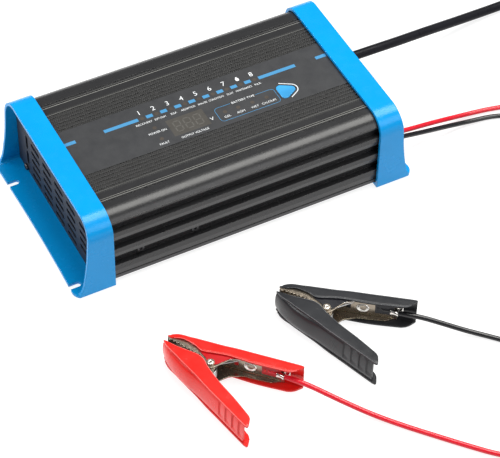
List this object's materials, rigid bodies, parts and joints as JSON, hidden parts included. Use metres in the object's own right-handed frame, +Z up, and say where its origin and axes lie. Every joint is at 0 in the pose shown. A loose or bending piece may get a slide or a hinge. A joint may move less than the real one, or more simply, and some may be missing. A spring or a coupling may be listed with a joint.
{
  "type": "car battery charger",
  "caption": "Mains battery charger with a finned case, end frames with slotted flanges, a control panel, a plug lead and two sprung battery clamps.",
  "frame": {"origin": "centre of the charger's footprint, on the surface it stands on", "axes": "+X along the charger towards its cable end, +Y across it towards the rear long side, +Z up"},
  "size_m": [0.5702, 0.4441, 0.073],
  "materials": {
    "case_paint": "fine matte powder coat",
    "zinc_sheet": "zinc plated",
    "screw_steel": "dark plated",
    "blue_plastic": "satin moulded",
    "black_plastic": "satin moulded",
    "label_print": "printed film",
    "window_tint": "smoked clear",
    "clear_plastic": "frosted",
    "key_blue": "satin",
    "switch_black": "plain",
    "board_green": "solder mask",
    "ferrite": "sintered",
    "copper": "enamelled wire",
    "capacitor_sleeve": "shrunk sleeve",
    "transistor_black": "moulded",
    "bar_aluminium": "sawn",
    "fuse_glass": "clear",
    "lead_rubber": "satin",
    "wire_red": "satin",
    "wire_black": "satin",
    "clamp_red": "satin moulded",
    "clamp_black": "satin moulded",
    "jaw_steel": "bright plated",
    "spring_steel": "oiled",
    "pin_nickel": "nickel plated"
  },
  "bodies": {
    "charger": {"base_plate": "zinc_sheet", "base_screws": "screw_steel", "black_clamp_fixed_cover": "clamp_black", "black_clamp_fixed_jaw": "jaw_steel", "black_clamp_lug": "jaw_steel", "black_clamp_pivot": "jaw_steel", "black_clamp_spring": "spring_steel", "black_coil": "wire_black", "black_lead_back": "wire_black", "black_lead_out": "wire_black", "board_spacers": "zinc_sheet", "case_extrusion": "case_paint", "digit_display": "transistor_black", "display_board": "board_green", "display_cable": "wire_black", "display_window": "window_tint", "fan_frame": "black_plastic", "fuse": "fuse_glass", "heat_bars": "bar_aluminium", "indicator_leds": "clear_plastic", "input_capacitors": "capacitor_sleeve", "internal_wires": "wire_black", "label_overlay": "label_print", "left_end_frame": "blue_plastic", "left_end_plate": "black_plastic", "left_end_screws": "screw_steel", "light_pipes": "clear_plastic", "line_choke": "copper", "main_board": "board_green", "mains_coil": "lead_rubber", "mains_lead": "lead_rubber", "mains_lead_end": "lead_rubber", "mains_plug": "lead_rubber", "mains_plug_pins": "pin_nickel", "mains_strain_relief": "lead_rubber", "mode_switch": "switch_black", "output_capacitors": "capacitor_sleeve", "output_choke": "copper", "power_transistors": "transistor_black", "red_clamp_fixed_cover": "clamp_red", "red_clamp_fixed_jaw": "jaw_steel", "red_clamp_lug": "jaw_steel", "red_clamp_pivot": "jaw_steel", "red_clamp_spring": "spring_steel", "red_coil": "wire_red", "red_lead_back": "wire_red", "red_lead_out": "wire_red", "right_end_frame": "blue_plastic", "right_end_plate": "black_plastic", "right_end_screws": "screw_steel", "side_screws": "screw_steel", "transformer_core": "ferrite", "transformer_winding": "copper", "wire_grommets": "lead_rubber"},
    "key": {"mode_button": "key_blue"},
    "fan": {"fan_rotor": "black_plastic"},
    "red_jaw": {"red_clamp_moving_cover": "clamp_red", "red_clamp_moving_jaw": "jaw_steel"},
    "black_jaw": {"black_clamp_moving_cover": "clamp_black", "black_clamp_moving_jaw": "jaw_steel"}
  },
  "joints": [
    {"name": "key_press", "type": "slide", "parent": "charger", "child": "key", "axis": [0, 0, -1], "range_m": [0, 0.0005], "stiffness_N_per_m": 500, "springref_m": -0.0008},
    {"name": "fan_spin", "type": "hinge", "parent": "charger", "child": "fan", "pos_m": [0.1205, -0.004, 0.037], "axis": [1, 0, 0], "continuous": true},
    {"name": "red_clamp_hinge", "type": "hinge", "parent": "charger", "child": "red_jaw", "pos_m": [-0.092, -0.196, 0.0125], "axis": [0, 0, 1], "range_deg": [0, 30], "stiffness_Nm_per_rad": 0.9, "springref_deg": -28.65},
    {"name": "black_clamp_hinge", "type": "hinge", "parent": "charger", "child": "black_jaw", "pos_m": [0.009, -0.188, 0.0125], "axis": [0, 0, 1], "range_deg": [0, 30], "stiffness_Nm_per_rad": 0.9, "springref_deg": -28.65}
  ]
}
